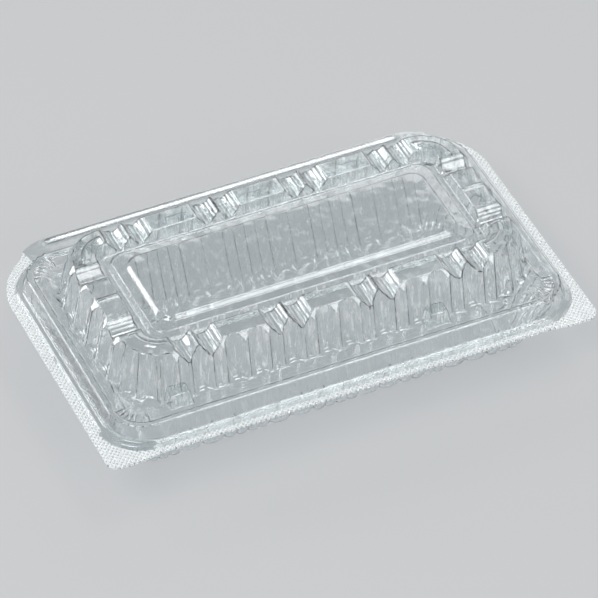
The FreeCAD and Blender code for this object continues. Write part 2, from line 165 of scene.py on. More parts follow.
def share_at(distance, half):
    """The share of a side at a distance from its middle."""
    return 0.5 * (1.0 - distance / half)


# The rim's outline
RIM_END = 100.0
RIM_FRONT = 58.2
EAR_FRONT = 59.6
CREASE = 67.7
# Arcs through three points, in so many steps: the sweep to a front ear, the ear's corner, the bow at the
# end and the hook from the notch to the crease. Each x is a distance from the rim's end.
RIM_ARCS = (
    ((22.0, -RIM_FRONT), (18.0, -RIM_FRONT - 0.5), (12.0, -EAR_FRONT), 12),
    ((4.9, -EAR_FRONT), (1.4, -EAR_FRONT + 1.4), (0.0, -EAR_FRONT + 4.9), 12),
    ((0.0, 39.0), (4.8, 52.0), (13.0, 60.2), 24),
    ((15.2, 63.7), (19.0, 66.0), (25.0, CREASE), 12),
)


def arc_through(a, b, c, count):
    """Points along the arc from a through b to c, in count steps."""
    (ax, ay), (bx, by), (cx, cy) = a, b, c
    aa, bb, cc = ax * ax + ay * ay, bx * bx + by * by, cx * cx + cy * cy
    d = 2 * (ax * (by - cy) + bx * (cy - ay) + cx * (ay - by))
    ux = (aa * (by - cy) + bb * (cy - ay) + cc * (ay - by)) / d
    uy = (aa * (cx - bx) + bb * (ax - cx) + cc * (bx - ax)) / d
    radius = math.hypot(ax - ux, ay - uy)
    start, middle, stop = (math.atan2(p[1] - uy, p[0] - ux) for p in (a, b, c))
    full = 2 * math.pi
    turn = (stop - start) % full
    if (middle - start) % full > turn:
        turn -= full
    angles = [start + turn * i / count for i in range(count + 1)]
    return [(ux + radius * math.cos(t), uy + radius * math.sin(t)) for t in angles]


def rim_outline():
    """The rim's outline: its right half from the front's middle to the crease, then the same mirrored."""
    right = [(0.0, -RIM_FRONT)]
    for *points, steps in RIM_ARCS:
        right += arc_through(*[(RIM_END - x, y) for x, y in points], steps)
    left = [(-x, y) for x, y in reversed(right)]
    return np.array(right + left[:-1])


OUTLINE = rim_outline()


def reach_rim(points, outward):
    """How far each point is from the rim's edge along its outward direction."""
    side = np.roll(OUTLINE, -1, axis=0) - OUTLINE
    best = np.full(len(points), FAR)
    for s, e in zip(OUTLINE, side):
        cross = outward[:, 0] * e[1] - outward[:, 1] * e[0]
        gap = s - points
        safe = np.where(np.abs(cross) < TINY, TINY, cross)
        t = (gap[:, 0] * e[1] - gap[:, 1] * e[0]) / safe
        u = (gap[:, 0] * outward[:, 1] - gap[:, 1] * outward[:, 0]) / safe
        good = (t > 0) & (u >= -SLACK) & (u <= 1 + SLACK) & (np.abs(cross) > TINY)
        best = np.where(good & (t < best), t, best)
    return best


def leaf_mask(columns):
    """True for the columns of the plain leaf beside the crease."""
    back = columns.sign[:, 1] > 0
    corner = (columns.kind == CORNER) & (columns.share >= LEAF_SHARE - SLACK)
    return back & (corner | (columns.kind == LONG))


# Meshes
SHEET_WAVE = 0.12  # how far the thickness swings, as a share of it
# Slow waves of the thickness, each the product of two swings: height, then for each swing its rates along
# x, y and z and where it starts
SHEET_WAVES = (
    (1.0, (0.61, 0.23, 0.0, 0.0), (0.17, -0.52, 0.3, 0.0)),
    (0.6, (1.13, -0.71, 0.0, 0.9), (0.0, 0.83, 0.47, 0.0)),
)


def vertex_normals(points, faces):
    """Area-weighted normals, from the faces with four sides."""
    normals = np.zeros_like(points)
    quads = np.array([face for face in faces if len(face) == 4])
    diagonal = points[quads[:, 2]] - points[quads[:, 0]]
    other_diagonal = points[quads[:, 3]] - points[quads[:, 1]]
    cross = np.cross(diagonal, other_diagonal)
    for corner in range(4):
        np.add.at(normals, quads[:, corner], cross)
    length = np.linalg.norm(normals, axis=1)
    return normals / np.maximum(length, TINY)[:, None]


def swing(points, rates):
    """A wave through space, from its rates along x, y and z and where it starts."""
    x, y, z = points.T
    return np.sin(rates[0] * x + rates[1] * y + rates[2] * z + rates[3])


def thickness_at(points):
    """Thickness of the drawn sheet: slow waves, as heat and stretch leave it."""
    wave = sum(high * swing(points, one) * swing(points, other) for high, one, other in SHEET_WAVES)
    return SHEET * (1.0 + SHEET_WAVE * wave)


def two_faced(points, faces, straight, up):
    """Adds the sheet's other face under the first; where straight is true it lies straight below."""
    normals = vertex_normals(points, faces)
    normals[straight] = (0.0, 0.0, up)
    thick = np.where(straight, SHEET, thickness_at(points))
    other = points - normals * thick[:, None]
    other_faces = [[i + len(points) for i in face[::-1]] for face in faces]
    return np.concatenate([points, other]), faces + other_faces


def mesh_object(name, points, faces, base):
    """An object in metres, from points in millimetres over a base height, without unused points."""
    used = sorted({i for face in faces for i in face})
    fresh = {old: new for new, old in enumerate(used)}
    placed = (np.asarray(points)[used] + np.array([0.0, SHIFT, base])) * MM
    mesh = bpy.data.meshes.new(name)
    mesh.from_pydata(placed.tolist(), [], [[fresh[i] for i in face] for face in faces])
    mesh.update()
    mesh.shade_smooth()
    item = bpy.data.objects.new(name, mesh)
    bpy.context.scene.collection.objects.link(item)
    item.modifiers.new("normals", "WEIGHTED_NORMAL")
    return item


def sheet_mesh(name, columns, layers, leaf_from, base, up, islands=(), middle=True):
    """A formed sheet of rings joined column by column, with both its faces.

    From ring leaf_from on, only the leaf's columns go further. up is the side that the given face looks to.
    islands are forms that rise from the sheet, and middle says that the first ring is filled.
    """
    count = columns.count
    leaf = leaf_mask(columns)
    points = np.concatenate(layers)
    faces = [list(range(count))] if middle else []
    for k in range(len(layers) - 1):
        for i in range(count):
            j = (i + 1) % count
            if k + 1 >= leaf_from and not (leaf[i] and leaf[j]):
                continue
            faces.append([k * count + i, (k + 1) * count + i, (k + 1) * count + j, k * count + j])
    straight = np.zeros(len(points), bool)
    straight[(leaf_from - 1) * count:] = True
    straight[:count] |= middle
    for island, island_faces in islands:
        faces += [[i + len(points) for i in face] for face in island_faces]
        points = np.concatenate([points, island])
        straight = np.concatenate([straight, np.zeros(len(island), bool)])
    if up < 0:
        faces = [face[::-1] for face in faces]
    points, faces = two_faced(points, faces, straight, up)
    return mesh_object(name, points, faces, base)


# The leaf beside the crease, with a low bead: shares of the way to the rim's edge, and where the bead lifts
LEAF_STATIONS = ((0.25, 0), (0.744, 0), (0.778, 1), (0.863, 1), (0.897, 0), (1.0, 0))
BEAD_END = 75.0
BEAD_END_SLOPE = 0.8


def leaf_layers(columns, height, bead):
    """The rings of the leaf, out from the step's foot to the crease."""
    start, out = columns.ring(*STEP_FOOT)
    reach = reach_rim(start, out)
    layers = []
    for share, lift in LEAF_STATIONS:
        xy = start + out * (reach * share)[:, None]
        ends = np.clip((BEAD_END - np.abs(xy[:, 0])) / BEAD_END_SLOPE, 0.0, 1.0)
        layers.append(np.column_stack([xy, height + lift * bead * ends]))
    return layers


# The lid's sizes
LID_SIDE_ENDS = (64.3, 21.3)
GROUP = 36.32  # between the pairs of V grooves
GROUP_PLACES = (-1.5, -0.5, 0.5, 1.5)
HALF_PITCH = 4.54  # from a pair's middle to each of its grooves
END_GROOVE = 15.5  # y of the grooves on the short sides
GROOVE_FROM = 69.0  # half length of the outline from which the grooves cut
GROOVE_BOTTOM = 21.4
GROOVE_FLOOR = 0.9  # half width of a groove's flat floor
STRIPE = 0.2  # height of the fine stripes on a groove's slopes
STRIPE_MARKS = (0.0, 0.25, 0.5, 0.75, 1.0)
STRIPE_LIFTS = (0.0, 1.0, -1.0, 1.0, 0.0)
LONG_UNITS = [0.5, 1.0, 0.5] + [1.0, 1.0, 0.5, 1.0, 0.5] * 3  # widths of a long side's flutes, in turn
SHORT_UNITS = [1.0] * 4
CORNER_UNITS = 4
FLUTE_MARKS = (0.0, 0.11, 0.16, 0.25, 0.37, 0.5, 0.63, 0.75, 0.84, 0.89)
FLUTE_DEPTH = 2.2
FLUTE_WIDTH = 0.78  # share of its unit
FLUTE_ROUND = (2.6, 0.6)  # powers that shape a flute's section
CORNER_COLUMNS = 80
WRINKLES = 20  # fine wrinkles in each corner
WRINKLE_DEPTH = 0.22
RIB_HEIGHT = 0.8  # of the rib across the shoulder at each short side
RIB_FOOT = 1.1
RIB_SLOPE = 0.35
RIB_MARKS = (0.35, 0.75, RIB_FOOT)
RIB_OUTER = 79.6
CORNER_BEAD = 0.8  # height of the bead round each corner of the shoulder
CORNER_BEAD_RADII = (8.55, 11.85)
CORNER_BEAD_SLOPE = 0.7
CORNER_BEAD_FADE = 0.03
RELIEF_FROM = 70.8  # half length of the outline from which ribs and beads rise
SHOULDER_BAND = 0.1  # they stand on rings no further than this under the shoulder
STUD_MIDDLES = (-65.4, 39.3)
STUD_COLUMNS = (34.5, 35.5, 43.1, 44.1)  # x of extra columns beside a stud, mirrored too
# How high over the ledge, and how far in from its foot, each ring of a stud stands
STUD_LAYERS = ((-0.1, -0.5), (0.15, -0.1), (0.5, 0.0), (4.9, 0.85), (5.25, 1.0), (5.4, 1.35))
STUD_HALF = 4.8
STUD_FRONT = 45.9
STUD_BACK = 39.4
STUD_RADIUS = 0.9
STUD_TURN = 15.0  # degrees between a stud's columns
BAR_CENTRE = (78.3, 38.0)  # where the short bars of a ledge's corner point from
BAR_FIRST = 9.0  # degrees
BAR_PITCH = 12.0
BAR_SWEEP = (3.0, 87.0)
BAR_START = 6.5
BAR_END_SLOPE = 0.5
BAR_HEIGHT = 0.8
BAR_HALF = 0.75
BAR_SLOPE = 0.3
LEDGE_BAND = 0.35  # rings this near to the ledge's height carry the bars

# Stations of the lid from the window out: half length, half depth, corner radius, height and rounding
WINDOW = [
    (56.0, 13.5, 2.5, 25.6, 0.0),
    (60.6, 18.1, 5.0, 25.6, 0.5),
    (61.8, 19.3, 6.2, 24.0, 0.4),
    (65.7, 23.4, 5.0, 24.0, 0.5),
    (66.9, 24.6, 6.2, 21.2, 0.5),
    (69.5, 26.7, 5.0, 21.2, 0.5),
    (70.5, 27.7, 6.0, SHOULDER, 0.5),
]
SHOULDER_SHARES = (0.277, 0.351, 0.543, 0.617)  # of the way from the window's last station to the brow
BROW = (79.7, 36.7, 15.4)
BEVEL_SHARES = (0.21, 0.28, 0.35, 0.42, 0.49, 0.56, 0.63, 0.7, 0.77)
BEVEL_RUN = 2.6
BEVEL_DROP = 3.2
BEVEL_FOOT = (82.3, 39.3, 18.0, 22.8, 0.5)
WALL = (81.7, 38.7, 17.4)  # the wall's outline, carried up to the shoulder's height
WALL_LEAN = 3.6 / 18.9
WALL_HEIGHTS = (21.4, 19.5, 15.5, 12.5, 10.0)
SKIRT = [
    (85.3, 42.3, 21.0, LEDGE, 0.6),
    (86.0, 43.6, 7.9, LEDGE, 0.0),
    (86.9, 45.1, 8.6, LEDGE, 0.0),
    (87.4, 45.9, 9.1, LEDGE, 0.0),
    (88.1, 47.3, 9.8, LEDGE, 0.0),
    (88.9, 48.6, 10.6, LEDGE, 0.3),
    (89.4, 49.1, 11.1, 8.0, 0.3),
    (91.8, 51.5, 13.5, 8.0, 0.7),
    (93.74, 53.44, 15.4, 1.8, 0.5),
    (95.7, 55.2, 16.7, 1.8, 0.5),
    (*STEP_FOOT, SHEET, 0.0),
]
# Rings with a larger radius, between these heights and within this half length, carry the flutes
FLUTED_RADIUS = 15.0
FLUTED_HEIGHTS = (7.0, SHOULDER)
FLUTED_END = 86.0
SEAM_WITHIN = 77.0  # the crown's piece ends on the last ring of the shoulder within this half length


def flute(place, width):
    """Depth of a flute, from 0 on its ridges to its unit's width in the middle."""
    across = np.abs(2.0 * place - 1.0) / FLUTE_WIDTH
    return width * np.clip(1.0 - across ** FLUTE_ROUND[0], 0.0, 1.0) ** FLUTE_ROUND[1]


def groove_marks():
    """Distances from a groove's middle to its floor's edge, its stripes and its top."""
    slope = HALF_PITCH - GROOVE_FLOOR
    return [GROOVE_FLOOR + slope * t for t in STRIPE_MARKS]


def groove_cut(offset):
    """Height of a groove's surface at a distance from its middle: a flat floor and striped slopes."""
    away = np.maximum(offset - GROOVE_FLOOR, 0.0) / (HALF_PITCH - GROOVE_FLOOR)
    stripe = np.interp(away, STRIPE_MARKS, STRIPE_LIFTS) * STRIPE
    return GROOVE_BOTTOM + (SHOULDER - GROOVE_BOTTOM) * away + stripe


def lid_columns():
    """The lid's columns: on the flutes, beside the grooves, ribs and studs, and round the corners."""
    sides = [s * mark for mark in groove_marks() for s in (1, -1)]
    middles = [GROUP * g + s * HALF_PITCH for g in GROUP_PLACES for s in (1, -1)]
    groove_x = [middle + d for middle in middles for d in sides]
    stud_x = [s * x for x in STUD_COLUMNS for s in (1, -1)]
    long_shares = join_shares(
        unit_marks(LONG_UNITS, FLUTE_MARKS),
        [share_at(x, LID_SIDE_ENDS[0]) for x in groove_x + stud_x],
    )
    groove_y = [s * (END_GROOVE + d) for s in (1, -1) for d in sides]
    rib_y = [s * y for s in (1, -1) for y in RIB_MARKS]
    short_shares = join_shares(
        unit_marks(SHORT_UNITS, FLUTE_MARKS),
        [share_at(y, LID_SIDE_ENDS[1]) for y in groove_y + rib_y],
    )
    corner_shares = join_shares(np.linspace(0.0, 1.0, CORNER_COLUMNS + 1), [LEAF_SHARE])
    return Columns(LID_SIDE_ENDS, long_shares, short_shares, [0.0] + corner_shares + [1.0])


def lid_profile():
    """The lid's rings, from the window's edge to the step's foot."""
    shoulder = [
        (*(inner + (outer - inner) * share for inner, outer in zip(WINDOW[-1], BROW)), SHOULDER, 0.0)
        for share in SHOULDER_SHARES
    ]
    bevel = [
        (*(size + BEVEL_RUN * share for size in BROW), SHOULDER - BEVEL_DROP * share, 0.0)
        for share in BEVEL_SHARES
    ]
    wall = [
        (*(size + WALL_LEAN * (SHOULDER - height) for size in WALL), height, 0.0)
        for height in WALL_HEIGHTS
    ]
    brow = [(*BROW, SHOULDER, 0.5)]
    return soft_profile(WINDOW + shoulder + brow + bevel + [BEVEL_FOOT] + wall + SKIRT)


def stud_blocks():
    """The two snap studs: blocks with leaning, rounded sides that grow out of the front wall."""
    blocks = []
    turn = np.radians(np.arange(0.0, 360.0, STUD_TURN))
    aside = 0.01  # settles the signs of the columns that lie on an axis
    sx, sy = np.sign(np.cos(turn + aside)), np.sign(np.sin(turn + aside))
    count = len(turn)
    for middle in STUD_MIDDLES:
        layers = []
        for lift, inset in STUD_LAYERS:
            half_x, front = STUD_HALF - inset, STUD_FRONT - inset
            x = middle + sx * (half_x - STUD_RADIUS) + STUD_RADIUS * np.cos(turn)
            y = np.where(sy < 0, -(front - STUD_RADIUS), -(STUD_BACK + STUD_RADIUS))
            y = y + STUD_RADIUS * np.sin(turn)
            layers.append(np.column_stack([x, y, np.full(count, LEDGE + lift)]))
        faces = [[len(layers) * count - count + i for i in range(count)]]
        for k in range(len(layers) - 1):
            for i in range(count):
                j = (i + 1) % count
                faces.append([k * count + i, k * count + j, (k + 1) * count + j, (k + 1) * count + i])
        blocks.append((np.concatenate(layers), faces))
    return blocks


def bar_height(x, y):
    """Height of the short radial bars on the ledge's corners."""
    away_x, away_y = np.abs(x) - BAR_CENTRE[0], np.abs(y) - BAR_CENTRE[1]
    radius = np.hypot(away_x, away_y)
    angle = np.degrees(np.arctan2(away_y, away_x))
    half_pitch = BAR_PITCH / 2.0
    turn = (angle - BAR_FIRST + half_pitch) % BAR_PITCH - half_pitch
    across = np.abs(np.radians(turn)) * radius
    inside = (away_x > 0) & (away_y > 0) & (angle > BAR_SWEEP[0]) & (angle < BAR_SWEEP[1])
    ends = np.clip((radius - BAR_START) / BAR_END_SLOPE, 0.0, 1.0)
    return np.where(inside, BAR_HEIGHT * ends * np.clip((BAR_HALF - across) / BAR_SLOPE, 0.0, 1.0), 0.0)


def wall_depths(columns):
    """How deep the flutes, and the corners' fine wrinkles, cut into the lid's wall at each column."""
    place, width = np.zeros(columns.count), np.ones(columns.count)
    corner = columns.kind == CORNER
    place[corner] = (columns.share[corner] * CORNER_UNITS) % 1.0
    for kind, units in ((LONG, LONG_UNITS), (SHORT, SHORT_UNITS)):
        chosen = columns.kind == kind
        place[chosen], index = unit_places(columns.share[chosen], units)
        width[chosen] = np.array(units)[index]
    deep = FLUTE_DEPTH * flute(place, width)
    wrinkle = 0.5 - 0.5 * np.cos(2.0 * np.pi * WRINKLES * columns.share[corner])
    deep[corner] += WRINKLE_DEPTH * wrinkle
    return deep


def cross_grooves(columns, x, y, z):
    """A ring's heights, cut by the pairs of V grooves on the long sides and the grooves on the short."""
    across = np.abs((x + GROUP) % GROUP - GROUP / 2.0)
    cut = groove_cut(np.abs(across - HALF_PITCH))
    z = np.where(columns.kind == LONG, soft_min(z, cut, JOIN), z)
    cut = groove_cut(np.abs(np.abs(y) - END_GROOVE))
    return np.where(columns.kind == SHORT, soft_min(z, cut, JOIN), z)


def shoulder_relief(columns, a, r, y):
    """What the ribs of the short sides and the beads of the corners add to a ring of the shoulder."""
    rib = RIB_HEIGHT * np.clip((RIB_FOOT - np.abs(y)) / RIB_SLOPE, 0.0, 1.0)
    rib = np.where(columns.kind == SHORT, rib * (a < RIB_OUTER), 0.0)
    inner, outer = CORNER_BEAD_RADII
    bead = CORNER_BEAD * np.clip(min(r - inner, outer - r) / CORNER_BEAD_SLOPE, 0.0, 1.0)
    fade = np.clip(np.minimum(columns.share, 1.0 - columns.share) / CORNER_BEAD_FADE, 0.0, 1.0)
    return rib + np.where(columns.kind == CORNER, bead * fade, 0.0)


def lid_layers(columns):
    """The points of the lid's rings, with everything that is pressed into them."""
    deep = wall_depths(columns)
    low, high = FLUTED_HEIGHTS
    layers = []
    for a, b, r, height in lid_profile():
        xy, out = columns.ring(a, b, r)
        z = np.full(columns.count, height)
        if r > FLUTED_RADIUS and low < height <= high and a < FLUTED_END:
            free = WALL[2] + WALL_LEAN * (SHOULDER - height)
            inset = r - soft_min(np.full(columns.count, r), free - deep, JOIN)
            xy = xy - out * np.maximum(inset, 0.0)[:, None]
        x, y = xy.T
        if a >= GROOVE_FROM:
            z = cross_grooves(columns, x, y, z)
        if height > SHOULDER - SHOULDER_BAND and a > RELIEF_FROM:
            z = z + shoulder_relief(columns, a, r, y)
        if abs(height - LEDGE) < LEDGE_BAND:
            z = np.maximum(z, LEDGE + bar_height(x, y))
        layers.append(np.column_stack([xy, z]))
    return layers


# The tray's sizes
TRAY_SIDE_ENDS = (72.5, 30.8)
TRAY_PERIOD = [1, 1, 2, 2, 1, 1]  # widths of the bulges, in turn
TRAY_PERIODS = 4  # along a long side
TRAY_DEPTHS = [1.6, 1.6, 2.1, 2.1, 2.1, 1.6]  # of the clefts at the start of each bulge
TRAY_CUSP = 3.2  # power that shapes a cleft's section
TRAY_MARKS = (0.0, 0.05, 0.12, 0.22, 0.36, 0.5, 0.64, 0.78, 0.88, 0.95)
TRAY_END_MARKS = TRAY_MARKS[::2] + TRAY_MARKS[-1:]
TRAY_END_UNITS = 14
TRAY_LEAN = 10.5 / 21.85
TRAY_HEIGHTS = (-19.5, -14.0, -8.5)
TRAY_FOOT = -24.85
TRAY_FOOT_RADIUS = 8.0
TRAY_STRAIGHT = (72.6, 30.8)  # middles of the wall's corner arcs
# Stations of the tray, as the lid's
TRAY_FLOOR = [
    (66.0, 24.2, 3.0, -23.35, 0.0),
    (72.9, 31.1, 6.8, -23.35, 0.6),
    (73.6, 31.8, 7.5, TRAY_FOOT, 0.5),
    (76.2, 34.4, 3.6, TRAY_FOOT, 0.0),
    (79.1, 37.3, 6.5, TRAY_FOOT, 0.7),
    (81.5, 39.7, 8.9, -22.95, 0.8),
]
TRAY_MOUTH = [
    (91.1, 49.3, 18.5, -3.0, 0.3),
    (91.9, 50.4, 19.4, -3.0, 0.3),
    (92.5, 51.0, 20.0, -SHEET, 0.5),
    (*STEP_FOOT, -SHEET, 0.0),
]
CLEFT_OUTLINES = (78.0, 91.5)  # half lengths between which rings have clefts
CLEFT_DEPTHS = (2.9, 3.3, 22.0, 24.85)  # below the parting plane
CLEFT_WEIGHTS = (0.0, 1.0, 1.0, 0.85)


def tray_columns():
    """The tray's columns: on its bulges, and round the corners."""
    marks = {(i + mark) / CORNER_UNITS for i in range(CORNER_UNITS) for mark in TRAY_MARKS}
    return Columns(
        TRAY_SIDE_ENDS,
        join_shares(unit_marks(TRAY_PERIOD * TRAY_PERIODS, TRAY_MARKS)),
        join_shares(unit_marks([1.0] * TRAY_END_UNITS, TRAY_END_MARKS)),
        sorted(marks | {LEAF_SHARE, 1.0}),
    )


def tray_profile():
    """The tray's rings, from the floor out to the step's foot."""
    wall = []
    for height in TRAY_HEIGHTS:
        radius = TRAY_FOOT_RADIUS + TRAY_LEAN * (height - TRAY_FOOT)
        wall.append((TRAY_STRAIGHT[0] + radius, TRAY_STRAIGHT[1] + radius, radius, height, 0.0))
    return soft_profile(TRAY_FLOOR + wall + TRAY_MOUTH)


def cleft_depths(columns):
    """How deep the clefts between the tray's bulges cut in at each column."""
    place, depth = np.zeros(columns.count), np.ones(columns.count)
    for kind, units in ((CORNER, CORNER_UNITS), (SHORT, TRAY_END_UNITS)):
        chosen = columns.kind == kind
        place[chosen] = (columns.share[chosen] * units) % 1.0
    chosen = columns.kind == LONG
    place[chosen], index = unit_places(columns.share[chosen], TRAY_PERIOD * TRAY_PERIODS)
    starts = np.array(TRAY_DEPTHS * TRAY_PERIODS)
    stops = np.roll(starts, -1)
    depth[chosen] = np.where(place[chosen] < 0.5, starts[index], stops[index])
    return depth * np.abs(2.0 * place - 1.0) ** TRAY_CUSP


def tray_layers(columns):
    """The points of the tray's rings, with the clefts between its bulges."""
    deep = cleft_depths(columns)
    layers = []
    for a, b, r, height in tray_profile():
        xy, out = columns.ring(a, b, r)
        if CLEFT_OUTLINES[0] < a < CLEFT_OUTLINES[1]:
            weight = np.interp(-height, CLEFT_DEPTHS, CLEFT_WEIGHTS)
            xy = xy - out * (weight * deep)[:, None]
        layers.append(np.column_stack([xy, np.full(columns.count, height)]))
    return layers


# The knurled rim: a net of fine ridges that cross at right angles, at 45 degrees to the sides
KNURL_PITCH = 1.42
KNURL_HEIGHT = 0.3
KNURL_FOOT = 0.36  # half width of a ridge at its foot
KNURL_SLOPE = 0.22  # width of a ridge's side
KNURL_LEVEL = 0.4  # share of a ridge's height that lies under the plain sheet's level
KNURL_BORDER = 0.1  # the net begins this far inside the strip's edge
KNURL_FADE = 0.35  # and has its full height this much further in
KNURL_ROWS = 32
KNURL_STEP = 0.24  # along the rim
RIM_SAMPLES = 2501


def net_ridge(place):
    """Height of the nearest of the parallel ridges at a place across them, from 0 to 1."""
    away = np.abs(place - np.round(place / KNURL_PITCH) * KNURL_PITCH)
    return np.clip((KNURL_FOOT - away) / KNURL_SLOPE, 0.0, 1.0)


def rim_path():
    """Pairs of points across the knurled rim, from one notch round the front to the other."""
    shares = np.linspace(0.0, 1.0, RIM_SAMPLES)
    fine = Columns(LID_SIDE_ENDS, shares[1:-1], shares[1:-1], shares)
    xy, out = fine.ring(*STEP_FOOT)
    plain = leaf_mask(fine)
    first = np.flatnonzero(plain & ~np.roll(plain, -1))[0]
    order = np.roll(np.arange(fine.count), -first)
    order = order[: np.count_nonzero(~plain) + 2]
    xy, out = xy[order], out[order]
    edge = xy + out * reach_rim(xy, out)[:, None]
    inner_steps = np.linalg.norm(np.diff(xy, axis=0), axis=1)
    outer_steps = np.linalg.norm(np.diff(edge, axis=0), axis=1)
    run = np.concatenate([[0.0], np.cumsum(0.5 * (inner_steps + outer_steps))])
    marks = np.linspace(0.0, run[-1], int(run[-1] / KNURL_STEP))
    inner = np.column_stack([np.interp(marks, run, xy[:, i]) for i in (0, 1)])
    outer = np.column_stack([np.interp(marks, run, edge[:, i]) for i in (0, 1)])
    return inner, outer, marks


def knurled_strip(name, base, up):
    """The rim outside the step: the net is on its outer face, and the face to the other rim is flat."""
    inner, outer, marks = rim_path()
    count = len(marks)
    width = np.linalg.norm(outer - inner, axis=1)
    layers = []
    for share in np.linspace(0.0, 1.0, KNURL_ROWS + 1):
        at = inner + (outer - inner) * share
        border = np.minimum(min(share, 1.0 - share) * width, np.minimum(marks, marks[-1] - marks))
        fade = np.clip((border - KNURL_BORDER) / KNURL_FADE, 0.0, 1.0)
        rise = np.maximum(
            net_ridge((at[:, 0] + at[:, 1]) / math.sqrt(2.0)),
            net_ridge((at[:, 0] - at[:, 1]) / math.sqrt(2.0)),
        )
        z = up * (SHEET + KNURL_HEIGHT * fade * (rise - KNURL_LEVEL))
        layers.append(np.column_stack([at, z]))
    low = len(layers) * count
    layers.append(np.column_stack([inner, np.zeros(count)]))
    layers.append(np.column_stack([outer, np.zeros(count)]))
    faces = []
    for i in range(count - 1):
        for k in range(KNURL_ROWS):
            here = k * count + i
            faces.append([here, here + count, here + count + 1, here + 1])
        top = KNURL_ROWS * count + i
        under = low + i
        faces.append([top, under + count, under + count + 1, top + 1])
        faces.append([under, under + 1, under + count + 1, under + count])
    if up < 0:
        faces = [face[::-1] for face in faces]
    return mesh_object(name, np.concatenate(layers), faces, base)


# Materials, whose noises are laid out in metres
LID_TINT = (0.93, 0.955, 0.96)
TRAY_TINT = (0.92, 0.95, 0.957)
THROUGH_TINT = (0.955, 0.96, 0.963)
PLASTIC_IOR = 1.58
SHEET_RIPPLE = 0.25
KNURL_RIPPLE = 0.1
RIPPLE_DEPTH = 0.0006
RIPPLE_SCALE = 90.0
RIPPLE_DETAIL = 2.0
GLOSS_SCALE = 900.0
GLOSS_DETAIL = 3.0
GLOSS_RANGE = (0.35, 0.7)
GLOSS_ROUGHNESS = (0.02, 0.07)
# Painted reflection: how white the upright streaks on the lid's and the tray's walls are
LID_STREAK_SHEEN = 0.42
TRAY_STREAK_SHEEN = 0.3
STREAK_SCALE = (780.0, 780.0, 55.0)
STREAK_DETAIL = 3.0
STREAK_GRAIN = 0.6
STREAK_RANGE = (0.5, 0.68)
STREAK_WALLS = (0.5, 0.58)  # how far up or down a face may look before its streaks fade out
STREAK_LOW = 0.3  # what is left of the streaks below the height that they are given
STREAK_RISE = 0.002
NET_WHITE = 0.42
NET_ROUGHNESS = (0.04, 0.3)  # between the ridges, and what a ridge adds
FLOOR_COLOUR = (0.56, 0.57, 0.58)
FLOOR_ROUGHNESS = 0.9
FLOOR_SPECULAR = 0.1


def calculate(tree, operation, *values):
    """The result of a Math node on sockets and numbers."""
    node = tree.nodes.new("ShaderNodeMath")
    node.operation = operation
    for socket, value in zip(node.inputs, values):
        if isinstance(value, float):
            socket.default_value = value
        else:
            tree.links.new(value, socket)
    return node.outputs[0]


def map_range(tree, value, source, target):
    """A value taken from one range to another, and held inside it."""
    node = tree.nodes.new("ShaderNodeMapRange")
    for name, number in zip(("From Min", "From Max", "To Min", "To Max"), (*source, *target)):
        node.inputs[name].default_value = number
    tree.links.new(value, node.inputs["Value"])
    return node.outputs["Result"]


def noise(tree, vector, scale, detail, grain=0.5):
    """The value of a noise at a place."""
    node = tree.nodes.new("ShaderNodeTexNoise")
    node.inputs["Scale"].default_value = scale
    node.inputs["Detail"].default_value = detail
    node.inputs["Roughness"].default_value = grain
    tree.links.new(vector, node.inputs["Vector"])
    return node.outputs["Fac"]


def part_of(tree, vector, axis):
    """One coordinate of a vector."""
    node = tree.nodes.new("ShaderNodeSeparateXYZ")
    tree.links.new(vector, node.inputs[0])
    return node.outputs[axis]


def streak_sheen_finish(tree, place, sheen_white, above):
    """Clearness and roughness of the drawn sheet.

    The walls get whitish upright streaks, a painted reflection made by taking clearness from the sheet
    there, fainter below a height.
    """
    stretch = tree.nodes.new("ShaderNodeMapping")
    stretch.inputs["Scale"].default_value = STREAK_SCALE
    tree.links.new(place.outputs["Object"], stretch.inputs["Vector"])
    streak = noise(tree, stretch.outputs["Vector"], 1.0, STREAK_DETAIL, STREAK_GRAIN)
    streak = map_range(tree, streak, STREAK_RANGE, (0.0, sheen_white))
    level = calculate(tree, "ABSOLUTE", part_of(tree, place.outputs["Normal"], "Z"))
    wall = map_range(tree, level, STREAK_WALLS, (1.0, 0.0))
    height = part_of(tree, place.outputs["Object"], "Z")
    rise = map_range(tree, height, (above, above + STREAK_RISE), (STREAK_LOW, 1.0))
    # Painted reflection: whitish streaks on the steep faces, fainter below the given height
    painted_sheen = calculate(tree, "MULTIPLY", calculate(tree, "MULTIPLY", streak, wall), rise)
    gloss = noise(tree, place.outputs["Object"], GLOSS_SCALE, GLOSS_DETAIL)
    return calculate(tree, "SUBTRACT", 1.0, painted_sheen), map_range(tree, gloss, GLOSS_RANGE, GLOSS_ROUGHNESS)


def knurled_finish(tree, place):
    """Clearness and roughness of a knurled strip, where the press has whitened the crossed ridges."""
    scale = 1.0 / MM / (math.sqrt(2.0) * KNURL_PITCH)
    x = calculate(tree, "MULTIPLY", part_of(tree, place.outputs["Object"], "X"), scale)
    y = calculate(tree, "SUBTRACT", part_of(tree, place.outputs["Object"], "Y"), SHIFT * MM)
    y = calculate(tree, "MULTIPLY", y, scale)
    ridges = []
    for across in (calculate(tree, "ADD", x, y), calculate(tree, "SUBTRACT", x, y)):
        away = calculate(tree, "PINGPONG", across, 0.5)
        inside = calculate(tree, "SUBTRACT", KNURL_FOOT / KNURL_PITCH, away)
        ridges.append(calculate(tree, "DIVIDE", inside, KNURL_SLOPE / KNURL_PITCH))
    net = calculate(tree, "MAXIMUM", calculate(tree, "MAXIMUM", *ridges), 0.0)
    net = calculate(tree, "MINIMUM", net, 1.0)
    clear = calculate(tree, "SUBTRACT", 1.0, calculate(tree, "MULTIPLY", net, NET_WHITE))
    added = calculate(tree, "MULTIPLY", net, NET_ROUGHNESS[1])
    return clear, calculate(tree, "ADD", NET_ROUGHNESS[0], added)


